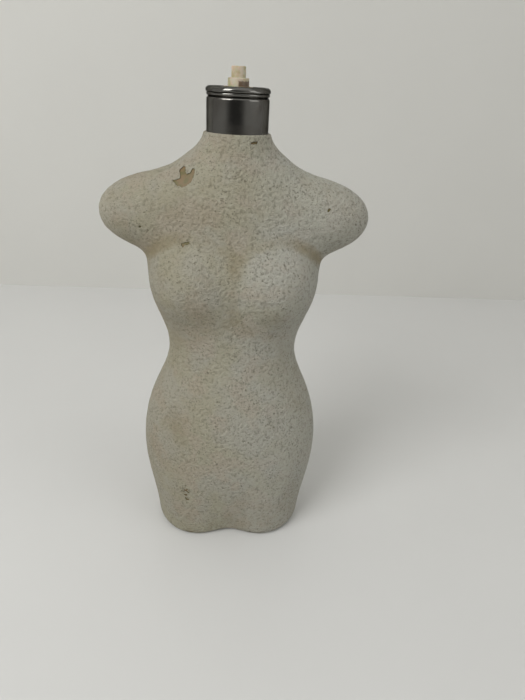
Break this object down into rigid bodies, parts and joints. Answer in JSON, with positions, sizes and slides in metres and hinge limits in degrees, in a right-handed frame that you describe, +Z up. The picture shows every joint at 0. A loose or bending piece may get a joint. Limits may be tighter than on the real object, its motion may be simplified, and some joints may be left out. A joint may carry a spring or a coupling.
{
  "type": "perfume bottle",
  "caption": "Torso-shaped glass perfume bottle with a stone-effect coat, dark metal collar and crimped spray pump whose bare stem presses down and springs back.",
  "frame": {"origin": "centre of the base, on the surface that the bottle stands on", "axes": "+Z up along the pump, -Y out of the front, +X to the right as seen from the front"},
  "size_m": [0.086, 0.0424, 0.1627],
  "materials": {
    "coated_glass": "opaque matt stone-effect coat, granular, with dark speckle and brown staining",
    "gunmetal": "dark gunmetal, glossy",
    "bare_aluminium": "satin",
    "cream_plastic": "aged cream, slightly translucent",
    "natural_plastic": "natural, milky",
    "rubber": "matt black",
    "spring_steel": "drawn wire"
  },
  "bodies": {
    "bottle": {"torso_bottle": "coated_glass", "collar": "gunmetal", "collar_liner": "cream_plastic", "ferrule": "bare_aluminium", "neck_gasket": "rubber", "pump_housing": "natural_plastic", "gland": "cream_plastic", "stem_seal": "rubber", "return_spring": "spring_steel", "dip_tube": "natural_plastic"},
    "stem": {"pump_stem": "cream_plastic", "valve_rod": "natural_plastic", "precompression_spring": "spring_steel"},
    "piston": {"piston": "natural_plastic"},
    "ball": {"inlet_ball": "spring_steel"}
  },
  "joints": [
    {"name": "stem_press", "type": "slide", "parent": "bottle", "child": "stem", "axis": [0, 0, -1], "range_m": [0, 0.0035], "stiffness_N_per_m": 800, "springref_m": -0.003, "deforming": ["return_spring"]},
    {"name": "piston_slip", "type": "slide", "parent": "stem", "child": "piston", "axis": [0, 0, 1], "range_m": [0, 0.0005], "stiffness_N_per_m": 400, "springref_m": -0.001, "deforming": ["precompression_spring"]},
    {"name": "ball_lift", "type": "slide", "parent": "bottle", "child": "ball", "axis": [0, 0, 1], "range_m": [0, 0.0006]}
  ]
}
